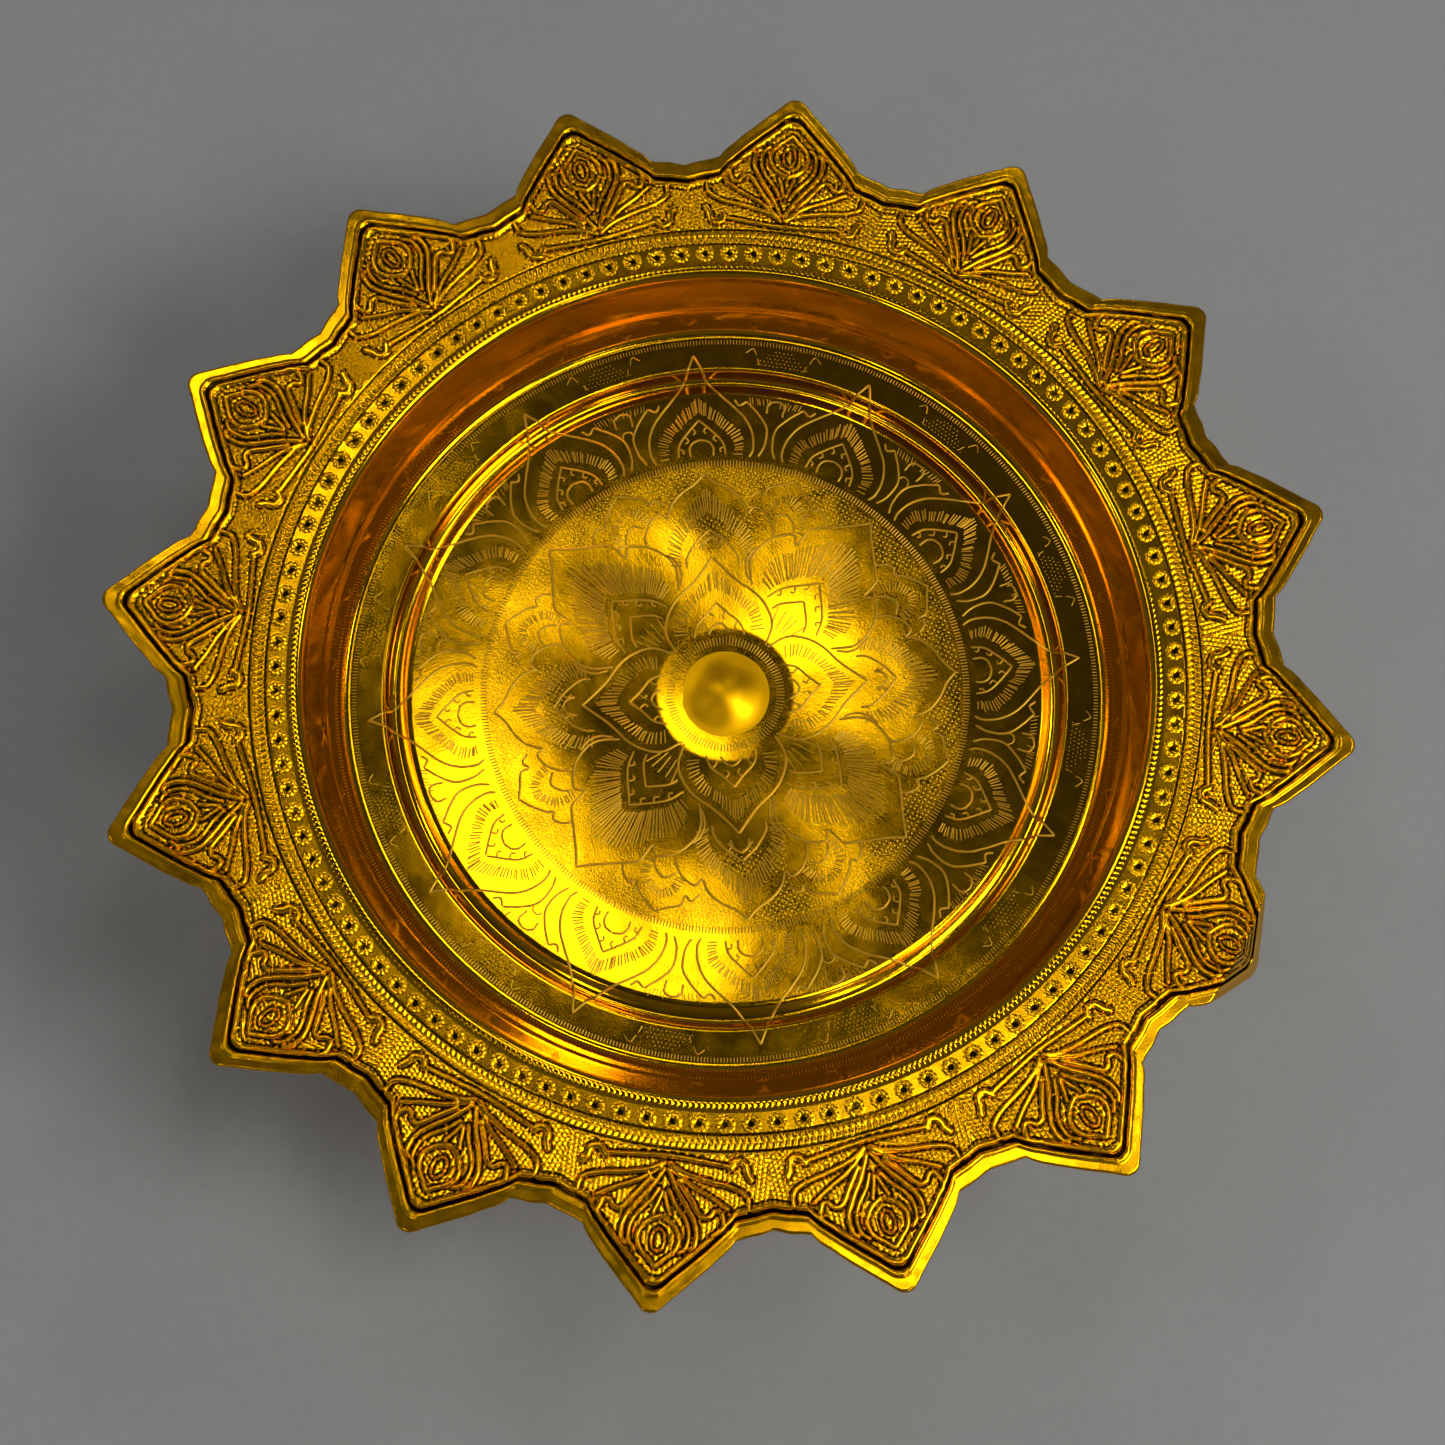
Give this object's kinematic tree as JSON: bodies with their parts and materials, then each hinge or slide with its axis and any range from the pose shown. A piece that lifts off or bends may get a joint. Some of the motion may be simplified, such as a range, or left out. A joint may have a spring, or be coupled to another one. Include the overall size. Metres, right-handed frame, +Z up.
{
  "type": "pedestal tray",
  "caption": "Round gold-finished pedestal tray: shallow pressed dish with a flat petal-cut rim and a ring groove, riveted at its centre to a waisted foot.",
  "frame": {"origin": "centre of the ring the foot stands on", "axes": "+Z up along the axis of the tray; +X through a petal tip"},
  "size_m": [0.25, 0.25, 0.1184],
  "materials": {
    "gold_lacquer": "bright gold-lacquered pressed sheet with chased and stamped ornament",
    "gold_lacquer_foot": "bright gold-lacquered spun sheet",
    "gold_rivet": "polished gold, domed",
    "plain_washer": "plain rolled"
  },
  "bodies": {
    "root": {"dish": "gold_lacquer", "foot": "gold_lacquer_foot", "rivet": "gold_rivet", "washer": "plain_washer"}
  },
  "joints": []
}
